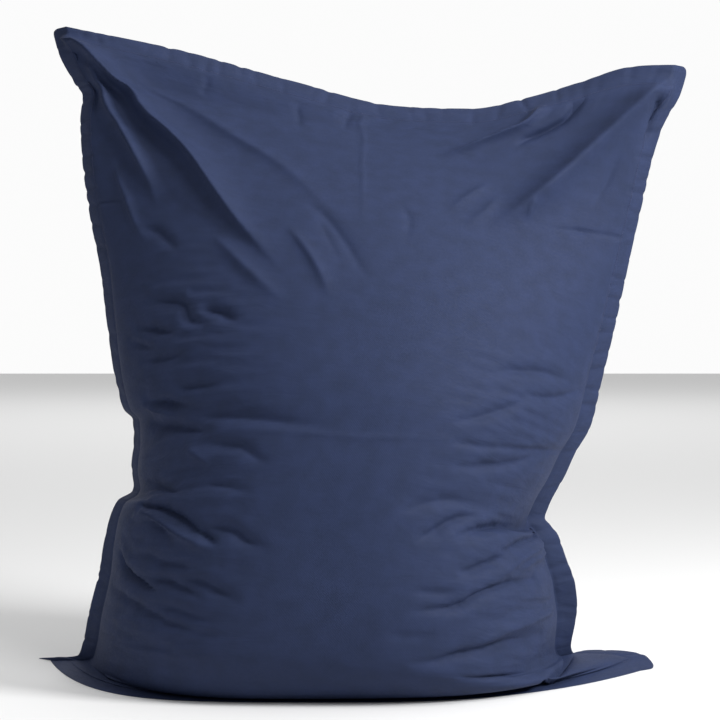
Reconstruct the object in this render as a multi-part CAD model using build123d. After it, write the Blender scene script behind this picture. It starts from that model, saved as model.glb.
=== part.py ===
"""Giant flat-cut bean bag, stood up as a chair: cover, inner liner, bead fill and locked zip.

The bag stands on z = 0 with its belly towards -Y. Its origin is the middle of the floor under it.
"""
import math
import os

from build123d import *

# ---- the whole chair, mm ----
CHAIR_WIDTH = 1400.0      # across the top horns
CHAIR_HEIGHT = 1350.0     # floor to the higher horn
CHAIR_DEPTH = 680.0       # belly to back

# ---- cloth ----
COVER_CLOTH = 1.5         # stand-in for a coated cloth of about half a millimetre
LINER_CLOTH = 1.5
LAYER_GAP = 0.3           # between the two layers of a seam
FIT_TOLERANCE = 0.3       # between the curved sheets and their guide points
LINER_INSET = 24.0        # from the cover's belly and back to the liner that hangs inside
LINER_DROP = 70.0         # from the cover's top edge to the liner's
BEAD_INSET = 38.0         # from the liner to the beads
BEAD_LEVEL = 1000.0       # top of the settled beads
# Slices of the beads: how far up to the bead level, and how much of the liner's width they fill.
BEAD_SLICES = [(0.0, 0.56), (0.12, 0.80), (0.30, 0.85), (0.50, 0.82), (0.75, 0.72), (1.0, 0.50)]

# ---- zip across the lower back ----
ZIP_HEIGHT = 165.0        # centre line above the floor
ZIP_OFFSET = -46.0        # middle of the zip, where the lower belly has its middle
ZIP_LENGTH = 500.0        # outer end of one stop to outer end of the other
FACING_MARGIN = 30.0      # facing beyond each end of the zip
FACING_HALF_HEIGHT = 32.0
FACING_DEPTH = 12.0       # deep enough to take up the curve of the back
FACING_STAND = 2.0        # facing proud of the back
MOUTH_HALF_HEIGHT = 8.0
TAPE_WIDTH = 17.0
TAPE_THICKNESS = 0.8
COIL_WIDTH = 3.2
COIL_HEIGHT = 2.6
COIL_HALF_GAP = 0.3
STOP_LENGTH = 4.0
STOP_HALF_HEIGHT = 4.5
STOP_THICKNESS = 3.8
SLIDER_LENGTH = 16.0
SLIDER_PLATE = 1.8
SLIDER_CLEARANCE = 0.4
SLIDER_SIDE = 2.2
END_CLEARANCE = 0.5
CAP_LENGTH = 13.0
CAP_WIDTH = 4.4
CAP_HEIGHT = 3.6
CAP_WALL = 1.4
LOCK_SPRING_THICKNESS = 0.6
GARAGE_LENGTH = 30.0
GARAGE_HALF_HEIGHT = 10.0
GARAGE_WALL = 1.2
GARAGE_CLEARANCE = 2.0
LABEL_WIDTH = 22.0
LABEL_LENGTH = 60.0
LABEL_THICKNESS = 0.6

# ---- liner closure ----
CLOSURE_LENGTH = 300.0
CLOSURE_HEIGHT = 22.0
CLOSURE_THICKNESS = 1.4

# Guide points run from the floor to the top edge, as shares of half the width, half the depth and
# the height. The sides are the outer edges of the sewn flange: fin, waist and horn.
LEFT_EDGE = [
    (-1.000, 0.647, 0.0), (-0.820, 0.350, 0.040), (-0.760, 0.100, 0.152),
    (-0.647, 0.044, 0.296), (-0.671, 0.044, 0.437), (-0.743, 0.065, 0.593),
    (-0.787, 0.100, 0.727), (-0.829, 0.147, 0.881), (-0.900, 0.176, 0.998),
]
RIGHT_EDGE = [
    (0.921, 0.312, 0.0), (0.671, 0.220, 0.055), (0.629, 0.074, 0.185),
    (0.569, 0.044, 0.248), (0.671, 0.059, 0.370), (0.764, 0.074, 0.519),
    (0.850, 0.097, 0.689), (0.943, 0.141, 0.844), (1.000, 0.176, 0.937),
]
# The inner liner has no fins, horns or flange.
LINER_LEFT_EDGE = [
    (-0.600, 0.360, 0.0), (-0.660, 0.240, 0.050), (-0.670, 0.100, 0.152),
    (-0.590, 0.044, 0.296), (-0.610, 0.044, 0.437), (-0.680, 0.065, 0.593),
    (-0.720, 0.100, 0.727), (-0.740, 0.147, 0.840), (-0.740, 0.176, 0.930),
]
LINER_RIGHT_EDGE = [
    (0.480, 0.280, 0.0), (0.540, 0.200, 0.055), (0.540, 0.074, 0.185),
    (0.510, 0.044, 0.248), (0.600, 0.059, 0.370), (0.690, 0.074, 0.519),
    (0.740, 0.097, 0.689), (0.760, 0.141, 0.820), (0.760, 0.176, 0.910),
]
FRONT_LINE = [
    (-0.690, 0.0), (-0.935, 0.081), (-1.000, 0.200), (-0.985, 0.311), (-0.910, 0.437),
    (-0.750, 0.570), (-0.500, 0.689), (-0.150, 0.800), (0.176, 0.879),
]
BACK_LINE = [
    (0.735, 0.0), (0.925, 0.081), (0.972, 0.200), (0.968, 0.311), (0.890, 0.437),
    (0.760, 0.570), (0.580, 0.689), (0.380, 0.800), (0.176, 0.879),
]
# How square each row bulges across the bag, and how pinched it is at its two edges.
FRONT_SQUARENESS = [2.2, 2.8, 3.2, 3.2, 2.8, 2.5, 2.3, 2.1, 2.0]
BACK_SQUARENESS = [3.0, 6.5, 6.5, 4.0, 3.2, 2.8, 2.5, 2.2, 2.0]
EDGE_PINCH = [1.8, 1.3, 1.1, 1.0, 1.0, 1.05, 1.1, 1.2, 1.2]
COLUMNS = 21
ROWS = 25


def smooth_between(values, share):
    """The value a share of the way along a list, on a smooth curve through every entry."""
    place = share * (len(values) - 1)
    k = min(int(place), len(values) - 2)
    t = place - k
    before, start, end, after = (values[min(max(k + step, 0), len(values) - 1)] for step in (-1, 0, 1, 2))
    start_slope, end_slope = (end - before) * 0.5, (after - start) * 0.5
    return (
        start * (2 * t**3 - 3 * t**2 + 1) + start_slope * (t**3 - 2 * t**2 + t)
        + end * (3 * t**2 - 2 * t**3) + end_slope * (t**3 - t**2)
    )


def guide(points):
    """Guide points in mm, each given as shares of half the width, half the depth and the height."""
    return [Vector(x * CHAIR_WIDTH / 2, y * CHAIR_DEPTH / 2, z * CHAIR_HEIGHT) for x, y, z in points]


def wall_points(edges, centre_line, squareness, inset=0.0, drop=0.0):
    """Rows of points on one panel, from the floor up and from the left edge to the right.

    The inset brings the middle of the panel nearer to its edges, and the drop lowers its top.
    """
    left_edge, right_edge = (guide(edge) for edge in edges)
    centres = guide([(0, y, z) for y, z in centre_line])
    inwards = -math.copysign(inset, centres[len(centres) // 2].Y)
    lowering = 1 - drop / CHAIR_HEIGHT
    rows = []
    for i in range(ROWS):
        up = i / (ROWS - 1)
        left, right, centre = (smooth_between(line, up) for line in (left_edge, right_edge, centres))
        square, pinch = smooth_between(squareness, up), smooth_between(EDGE_PINCH, up)
        middle, half = (left + right) / 2, (right - left) / 2
        bulge = Vector(0, centre.Y + inwards * (1 - up) - middle.Y, centre.Z - middle.Z)
        row = []
        for j in range(COLUMNS):
            across = math.sin(math.pi * (j / (COLUMNS - 1) - 0.5))
            fullness = max(0.0, 1 - abs(across) ** square) ** pinch
            lean = across**3
            point = middle + Vector(half.X * across, half.Y * lean, half.Z * lean) + bulge * fullness
            row.append(Vector(point.X, point.Y, point.Z * lowering))
        rows.append(row)
    return rows


def pushed_in(rows, distance, outward):
    """The same rows moved inwards by a distance along the surface's own normal."""
    inner = []
    for k, row in enumerate(rows):
        above, below = rows[min(k + 1, len(rows) - 1)], rows[max(k - 1, 0)]
        moved = []
        for j, point in enumerate(row):
            across = row[min(j + 1, len(row) - 1)] - row[max(j - 1, 0)]
            normal = across.cross(above[j] - below[j]).normalized() * -outward
            moved.append(point - normal * distance)
        inner.append(moved)
    return inner


def shifted(rows, offset):
    return [[point + offset for point in row] for row in rows]


def levelled(row, height):
    """A row laid flat at one height."""
    return [Vector(point.X, point.Y, height) for point in row]


def border_edges(face, rows):
    """The bottom, right, top and left edges of a face that was made from rows of points."""
    middle = len(rows) // 2
    borders = [rows[0], [row[-1] for row in rows], rows[-1], [row[0] for row in rows]]
    found = []
    for border in borders:
        marks = [border[0], border[len(border) // 2], border[-1]]
        found.append(min(face.edges(), key=lambda edge: sum(edge.distance_to(Vertex(*m)) for m in marks)))
    return found


def cloth_panel(outer_rows, thickness, outward, base, seam_row=None):
    """A closed sheet of cloth that stands at a base height.

    With a seam row, the sheet also turns under the bag and runs flat to that row.
    """
    inner_rows = pushed_in(outer_rows, thickness, outward)
    inner_base = base + thickness if seam_row else base
    outer_rows = [levelled(outer_rows[0], base), *outer_rows[1:]]
    inner_rows = [levelled(inner_rows[0], inner_base), *inner_rows[1:]]
    sheets = [
        Face.make_surface_from_array_of_points(rows, tol=FIT_TOLERANCE) for rows in (outer_rows, inner_rows)
    ]
    outer_edges, inner_edges = (
        border_edges(sheet, rows) for sheet, rows in zip(sheets, (outer_rows, inner_rows))
    )
    if seam_row:
        flats = []
        for k, (edges, rows) in enumerate(((outer_edges, outer_rows), (inner_edges, inner_rows))):
            points = [rows[0][0], *levelled(seam_row[1:-1], rows[0][0].Z), rows[0][-1]]
            seam = Edge.make_spline(points)
            flats.append(Face(Wire([edges[0], seam])))
            edges[0] = seam
        sheets += flats
    rims = [Face.make_surface_from_curves(a, b) for a, b in zip(outer_edges, inner_edges)]
    return Solid(Shell([*sheets, *rims]))


def slab(x_range, y_range, z_range):
    """A box between two limits along each axis."""
    low, high = zip(x_range, y_range, z_range)
    size = [b - a for a, b in zip(low, high)]
    centre = [(a + b) / 2 for a, b in zip(low, high)]
    return Pos(*centre) * Box(*size)


def bag_panels(edges, cloth, inset, drop, base):
    """The front panel and the back panel of one bag; the back one wraps under to the front seam."""
    step = Vector(0, cloth + LAYER_GAP / 2, 0)
    front_rows = shifted(wall_points(edges, FRONT_LINE, FRONT_SQUARENESS, inset, drop), -step)
    back_rows = shifted(wall_points(edges, BACK_LINE, BACK_SQUARENESS, inset, drop), step)
    front = cloth_panel(front_rows, cloth, -1, base + cloth + LAYER_GAP)
    back = cloth_panel(back_rows, cloth, 1, base, seam_row=front_rows[0])
    return front, back


def bead_filling(floor):
    """The settled beads: oval slices of the liner's inside, from its floor to the bead level."""
    left_edge, right_edge = guide(LINER_LEFT_EDGE), guide(LINER_RIGHT_EDGE)
    front_line, back_line = (guide([(0, y, z) for y, z in line]) for line in (FRONT_LINE, BACK_LINE))
    inset = LINER_INSET + LINER_CLOTH + BEAD_INSET
    slices = []
    for climb, spread in BEAD_SLICES:
        height = floor + climb * (BEAD_LEVEL - floor)
        left, right, front, back = (
            point_at_height(line, height) for line in (left_edge, right_edge, front_line, back_line)
        )
        centre = ((left.X + right.X) / 2, (front.Y + back.Y) / 2, height)
        half_width = (right.X - left.X) / 2 * spread
        half_depth = (back.Y - front.Y) / 2 - inset
        slices.append(Wire.make_ellipse(half_width, half_depth, Plane(origin=centre)))
    return Solid.make_loft(slices)


def point_at_height(column, height):
    """Where a column of points, which climbs from the floor, first reaches a height."""
    for low, high in zip(column, column[1:]):
        if high.Z >= height:
            share = (height - low.Z) / (high.Z - low.Z)
            return low + (high - low) * share
    return Vector(column[-1].X, column[-1].Y, height)


def slab(x_range, y_range, z_range):
    """A box between two limits along each axis."""
    lows, highs = zip(x_range, y_range, z_range)
    size = [high - low for low, high in zip(lows, highs)]
    centre = [(low + high) / 2 for low, high in zip(lows, highs)]
    return Pos(*centre) * Box(*size)


def mirrored_about_zip(low, high):
    """A height range above the zip's centre line, and its mirror image below."""
    return (ZIP_HEIGHT + low, ZIP_HEIGHT + high), (ZIP_HEIGHT - high, ZIP_HEIGHT - low)


def make_zip(back_y):
    """The zip's pieces by name; back_y is where the back of the cover is at the zip's middle."""
    half = ZIP_LENGTH / 2
    face = back_y + FACING_STAND
    facing_half = half + FACING_MARGIN
    facing = slab(
        (-facing_half, facing_half),
        (back_y - FACING_DEPTH, face),
        (ZIP_HEIGHT - FACING_HALF_HEIGHT, ZIP_HEIGHT + FACING_HALF_HEIGHT),
    )
    mouth_reach = FACING_DEPTH + FACING_STAND
    mouth = slab(
        (-half, half),
        (back_y - mouth_reach, back_y + mouth_reach),
        (ZIP_HEIGHT - MOUTH_HALF_HEIGHT, ZIP_HEIGHT + MOUTH_HALF_HEIGHT),
    )
    pieces = {"zip_facing": facing - mouth}
    tape_top = face + TAPE_THICKNESS
    coil_top = tape_top + COIL_HEIGHT
    coil_half = half - STOP_LENGTH
    tape_heights = mirrored_about_zip(COIL_HALF_GAP, COIL_HALF_GAP + TAPE_WIDTH)
    coil_heights = mirrored_about_zip(COIL_HALF_GAP, COIL_HALF_GAP + COIL_WIDTH)
    for side, tape_span, coil_span in zip(("upper", "lower"), tape_heights, coil_heights):
        pieces[f"zip_tape_{side}"] = slab((-half, half), (face, tape_top), tape_span)
        pieces[f"zip_coil_{side}"] = slab((-coil_half, coil_half), (tape_top, coil_top), coil_span)
    stop_span = (ZIP_HEIGHT - STOP_HALF_HEIGHT, ZIP_HEIGHT + STOP_HALF_HEIGHT)
    for side, sign in (("left", -1), ("right", 1)):
        ends = sorted((sign * half, sign * coil_half))
        pieces[f"zip_stop_{side}"] = slab(ends, (tape_top, tape_top + STOP_THICKNESS), stop_span)

    slider_start = -coil_half + END_CLEARANCE
    slider_ends = (slider_start, slider_start + SLIDER_LENGTH)
    channel_half = COIL_HALF_GAP + COIL_WIDTH + SLIDER_CLEARANCE
    slider_half = channel_half + SLIDER_SIDE
    channel_top = coil_top + SLIDER_CLEARANCE
    plate_top = channel_top + SLIDER_PLATE
    block = slab(
        slider_ends,
        (tape_top + SLIDER_CLEARANCE, plate_top),
        (ZIP_HEIGHT - slider_half, ZIP_HEIGHT + slider_half),
    )
    channel = slab(
        slider_ends, (tape_top, channel_top), (ZIP_HEIGHT - channel_half, ZIP_HEIGHT + channel_half)
    )
    pieces["zip_slider"] = fillet(block.edges().filter_by(Axis.Y), SLIDER_SIDE * 0.9) - channel
    slider_middle = sum(slider_ends) / 2
    cap_ends = (slider_middle - CAP_LENGTH / 2, slider_middle + CAP_LENGTH / 2)
    cap_span = (ZIP_HEIGHT - CAP_WIDTH / 2, ZIP_HEIGHT + CAP_WIDTH / 2)
    arch = slab(cap_ends, (plate_top, plate_top + CAP_HEIGHT), cap_span)
    arch = fillet(arch.faces().sort_by(Axis.Y)[-1].edges(), CAP_WALL * 0.8)
    spring_ends = (cap_ends[0] + CAP_WALL, cap_ends[1] - CAP_WALL)
    hollow = slab(spring_ends, (plate_top, plate_top + CAP_HEIGHT - CAP_WALL), cap_span)
    pieces["zip_slider_cap"] = arch - hollow
    pieces["zip_lock_spring"] = slab(spring_ends, (plate_top, plate_top + LOCK_SPRING_THICKNESS), cap_span)

    garage_ends = (-half - GARAGE_WALL, -half - GARAGE_WALL + GARAGE_LENGTH)
    inside_top = plate_top + CAP_HEIGHT + GARAGE_CLEARANCE
    shell = slab(
        garage_ends,
        (tape_top, inside_top + GARAGE_WALL),
        (ZIP_HEIGHT - GARAGE_HALF_HEIGHT - GARAGE_WALL, ZIP_HEIGHT + GARAGE_HALF_HEIGHT + GARAGE_WALL),
    )
    room = slab(
        (-half, garage_ends[1]),
        (tape_top, inside_top),
        (ZIP_HEIGHT - GARAGE_HALF_HEIGHT, ZIP_HEIGHT + GARAGE_HALF_HEIGHT),
    )
    pieces["zip_garage"] = shell - room
    label_middle = facing_half - FACING_MARGIN / 2
    pieces["care_label"] = slab(
        (label_middle - LABEL_WIDTH / 2, label_middle + LABEL_WIDTH / 2),
        (face, face + LABEL_THICKNESS),
        (ZIP_HEIGHT - LABEL_LENGTH, ZIP_HEIGHT),
    )
    window = slab(
        (-facing_half, facing_half),
        (back_y - CHAIR_DEPTH / 4, back_y + CHAIR_DEPTH / 4),
        (ZIP_HEIGHT - FACING_HALF_HEIGHT, ZIP_HEIGHT + FACING_HALF_HEIGHT),
    )
    travel = 2 * coil_half - SLIDER_LENGTH - 2 * END_CLEARANCE
    place = Pos(ZIP_OFFSET, 0, 0)
    return {name: place * piece for name, piece in pieces.items()}, place * window, travel


def make_closure():
    """The liner's hook and loop strips, pressed together along the middle of its top edge."""
    top = FRONT_LINE[-1][1] * (CHAIR_HEIGHT - LINER_DROP)
    seam = FRONT_LINE[-1][0] * CHAIR_DEPTH / 2
    span = (-CLOSURE_LENGTH / 2, CLOSURE_LENGTH / 2)
    heights = (top - CLOSURE_HEIGHT, top)
    return {
        "liner_loop_strip": slab(span, (seam - CLOSURE_THICKNESS, seam), heights),
        "liner_hook_strip": slab(span, (seam, seam + CLOSURE_THICKNESS), heights),
    }


def make_parts():
    """Every piece of the chair by its node name."""
    parts = {}
    cover_front, cover_back = bag_panels((LEFT_EDGE, RIGHT_EDGE), COVER_CLOTH, 0.0, 0.0, 0.0)
    straight_back = Axis((ZIP_OFFSET, 0, ZIP_HEIGHT), (0, 1, 0))
    back_y = max(point.Y for point, _ in cover_back.find_intersection_points(straight_back))
    zip_pieces, window, travel = make_zip(back_y)
    parts["cover_front_panel"] = cover_front
    parts["cover_back_panel"] = cover_back - window
    parts.update(zip_pieces)
    liner_floor = 2 * COVER_CLOTH + 2 * LAYER_GAP
    liner_front, liner_back = bag_panels(
        (LINER_LEFT_EDGE, LINER_RIGHT_EDGE), LINER_CLOTH, LINER_INSET, LINER_DROP, liner_floor
    )
    closure = make_closure()
    for strip in closure.values():
        liner_front, liner_back = liner_front - strip, liner_back - strip
    parts["liner_front_panel"], parts["liner_back_panel"] = liner_front, liner_back
    parts.update(closure)
    parts["bead_fill"] = bead_filling(liner_floor + 2 * LINER_CLOTH + 2 * LAYER_GAP)
    print(f"zip travel {travel:.1f} mm, back of the cover at the zip y = {back_y:.2f} mm")
    return parts


os.makedirs("parts", exist_ok=True)
for name, piece in make_parts().items():
    export_step(piece, f"parts/{name}.step")
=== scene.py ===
import math

import bmesh
import bpy
import numpy as np
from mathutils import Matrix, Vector


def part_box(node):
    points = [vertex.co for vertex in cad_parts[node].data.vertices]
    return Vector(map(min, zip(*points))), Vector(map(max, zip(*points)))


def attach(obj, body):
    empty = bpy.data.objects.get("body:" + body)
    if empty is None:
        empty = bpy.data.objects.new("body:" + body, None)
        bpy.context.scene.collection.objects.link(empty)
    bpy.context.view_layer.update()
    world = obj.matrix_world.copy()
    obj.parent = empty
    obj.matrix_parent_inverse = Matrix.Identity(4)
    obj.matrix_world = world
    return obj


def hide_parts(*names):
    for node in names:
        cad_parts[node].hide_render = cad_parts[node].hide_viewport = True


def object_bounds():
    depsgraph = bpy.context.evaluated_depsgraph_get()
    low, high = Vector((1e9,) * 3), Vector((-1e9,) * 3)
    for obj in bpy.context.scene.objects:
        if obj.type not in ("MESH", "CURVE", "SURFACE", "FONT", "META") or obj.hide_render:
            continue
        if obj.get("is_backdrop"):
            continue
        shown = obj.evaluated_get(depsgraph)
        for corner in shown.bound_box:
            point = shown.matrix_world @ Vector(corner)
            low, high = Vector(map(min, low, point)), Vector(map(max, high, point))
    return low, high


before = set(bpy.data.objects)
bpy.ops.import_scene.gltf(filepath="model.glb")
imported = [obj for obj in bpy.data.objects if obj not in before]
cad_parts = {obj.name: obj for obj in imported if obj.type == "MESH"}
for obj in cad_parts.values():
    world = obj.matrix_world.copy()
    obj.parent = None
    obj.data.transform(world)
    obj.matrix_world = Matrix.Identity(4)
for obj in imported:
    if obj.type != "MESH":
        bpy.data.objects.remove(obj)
cad_low, cad_high = (np.array(corner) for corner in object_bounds())

# ---------------------------------------------------------------------------------------------------------
# Sizes, in metres
# ---------------------------------------------------------------------------------------------------------
CUT_WIDTH = 1.40              # each panel as it is cut
CUT_LENGTH = 1.80
FLANGE = 0.050                # stitched border round the panels
LAYERS = 0.0016               # between the middles of the flange's two layers
FLOOR_CLEARANCE = 0.0006      # under the cloth that lies on the floor
BAND = 9                      # mesh cells across the flange
CELL = FLANGE / BAND
ROWS = round(CUT_LENGTH / CELL) + 1
COLUMNS = round(CUT_WIDTH / CELL) + 1
COARSE = 3                    # fine cells in one cell of the first settling
SETTLE_CAP = 0.020            # the furthest that settling moves the cloth
CORNER_RADIUS = 0.022
CORNER_BLEND = 45             # cells over which the top flange runs into the corners
FOLD_LIFT = 1.9               # how much higher and narrower the folds are drawn than in their list,
FOLD_WIDTH = 0.78             # to allow for what settling softens
COARSE_ROUNDS, COARSE_BEND = 220, 0.25    # settling on the coarse net: rounds, and how stiffly it bends,
FINE_ROUNDS, FINE_BEND = 90, 0.15         # and then on all the points
LINER_GAP = 0.085             # between the cover and the liner that hangs inside it
BEADS_INSIDE = 0.012          # between the liner and its beads
BEADS_TOP = 1.33              # how far up the cut the beads reach
LINER_ROOM = 0.20             # the liner ends where the bag gets thinner than this
LINER_COLUMNS = 73
CLOSURE_LENGTH, CLOSURE_WIDTH, CLOSURE_THICKNESS = 0.300, 0.022, 0.0014

half_width, half_depth = (cad_high[0] - cad_low[0]) / 2, 0.34
height = cad_high[2] - cad_low[2]
middle_x = (cad_high[0] + cad_low[0]) / 2

# ---------------------------------------------------------------------------------------------------------
# The bag's guide lines, from the bottom edge (0) to the top edge (1) of the flat cut. Each point is its
# place along the cut, then shares of half the width, half the depth and the height.
# ---------------------------------------------------------------------------------------------------------
LEFT_EDGE = [
    (0.00, -0.994, 0.647, 0.000), (0.03, -0.921, 0.529, 0.007), (0.07, -0.839, 0.382, 0.017),
    (0.10, -0.811, 0.265, 0.046), (0.15, -0.784, 0.147, 0.098), (0.20, -0.750, 0.088, 0.162),
    (0.24, -0.733, 0.059, 0.209), (0.275, -0.711, 0.050, 0.252), (0.295, -0.691, 0.047, 0.271),
    (0.315, -0.656, 0.044, 0.283), (0.33, -0.646, 0.044, 0.294), (0.36, -0.652, 0.044, 0.324),
    (0.39, -0.646, 0.044, 0.363), (0.41, -0.650, 0.044, 0.393), (0.43, -0.676, 0.047, 0.412),
    (0.46, -0.700, 0.053, 0.455), (0.53, -0.727, 0.062, 0.547), (0.60, -0.746, 0.074, 0.624),
    (0.68, -0.780, 0.103, 0.710), (0.76, -0.803, 0.118, 0.795), (0.83, -0.810, 0.132, 0.857),
    (0.87, -0.804, 0.140, 0.893), (0.91, -0.829, 0.147, 0.915), (0.95, -0.874, 0.160, 0.958),
    (1.00, -0.897, 0.176, 0.998),
]
RIGHT_EDGE = [
    (0.00, 0.921, 0.312, 0.000), (0.03, 0.896, 0.440, 0.014), (0.06, 0.819, 0.440, 0.022),
    (0.09, 0.724, 0.412, 0.024), (0.115, 0.675, 0.353, 0.022), (0.13, 0.660, 0.294, 0.037),
    (0.17, 0.672, 0.206, 0.096), (0.21, 0.663, 0.147, 0.137), (0.25, 0.630, 0.103, 0.185),
    (0.28, 0.605, 0.074, 0.219), (0.30, 0.580, 0.059, 0.235), (0.31, 0.569, 0.059, 0.243),
    (0.33, 0.583, 0.053, 0.266), (0.37, 0.627, 0.044, 0.309), (0.40, 0.654, 0.044, 0.340),
    (0.46, 0.704, 0.053, 0.386), (0.53, 0.737, 0.059, 0.455), (0.60, 0.770, 0.065, 0.524),
    (0.68, 0.801, 0.079, 0.594), (0.75, 0.831, 0.097, 0.663), (0.82, 0.863, 0.112, 0.733),
    (0.88, 0.891, 0.126, 0.795), (0.93, 0.927, 0.141, 0.850), (0.965, 0.977, 0.156, 0.897),
    (1.00, 1.003, 0.176, 0.939),
]
FRONT_LINE = [
    (0.00, -0.690, 0.000), (0.028, -0.540, 0.001), (0.06, -0.660, 0.004), (0.085, -0.790, 0.024),
    (0.13, -0.926, 0.075), (0.20, -0.985, 0.170), (0.30, -0.988, 0.298), (0.40, -0.930, 0.416),
    (0.50, -0.800, 0.527), (0.60, -0.632, 0.624), (0.70, -0.441, 0.705), (0.80, -0.230, 0.772),
    (0.90, -0.040, 0.826), (0.972, 0.064, 0.857), (1.00, 0.176, 0.881),
]
BACK_LINE = [
    (0.00, -0.690, 0.000), (0.028, -0.540, 0.000), (0.12, 0.060, 0.000), (0.235, 0.670, 0.000),
    (0.28, 0.840, 0.040), (0.34, 0.925, 0.111), (0.42, 0.950, 0.208), (0.50, 0.940, 0.312),
    (0.60, 0.853, 0.446), (0.70, 0.691, 0.579), (0.80, 0.500, 0.695), (0.90, 0.260, 0.799),
    (0.972, 0.064, 0.857), (1.00, 0.176, 0.881),
]
# How far the flange stands out sideways at each side; the rest of its width leans back.
LEFT_SPREAD = [(0.0, 0.8), (0.08, 0.7), (0.2, 0.6), (0.35, 0.40), (0.6, 0.50), (0.85, 0.55), (1.0, 0.7)]
RIGHT_SPREAD = [(0.0, 0.8), (0.1, 0.7), (0.2, 0.95), (0.30, 0.8), (0.5, 0.70), (0.8, 0.62), (1.0, 0.7)]
# The bulge across a row is (1 - |s|^roundness)^steepness.
FRONT_ROUNDNESS = [(0.0, 5.0), (0.1, 3.4), (0.2, 2.6), (0.5, 2.3), (1.0, 2.0)]
BACK_ROUNDNESS = [(0.0, 5.0), (0.2, 4.5), (0.34, 4.5), (0.5, 2.8), (1.0, 2.0)]
STEEPNESS = [
    (0.0, 1.0), (0.1, 0.75), (0.2, 0.60), (0.35, 0.56), (0.5, 0.64), (0.7, 0.82), (0.85, 1.0), (1.0, 1.1),
]
# The right fin's front edge runs out from under the belly more directly than the left one's.
FIN_PULL = [(0.0, 0.5), (0.028, 0.55), (0.08, 1.0), (1.0, 1.0)]
# The sag of the top edge from horn to horn, as a share of its depth.
TOP_SAG = [
    (-1.0, 0.0), (-0.65, 0.24), (-0.26, 0.66), (0.10, 0.98), (0.35, 0.92), (0.53, 0.65), (0.70, 0.32),
    (0.87, 0.04), (1.0, 0.0),
]
TOP_FLANGE_LEAN = 0.76        # share of the top flange's width that leans back

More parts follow.
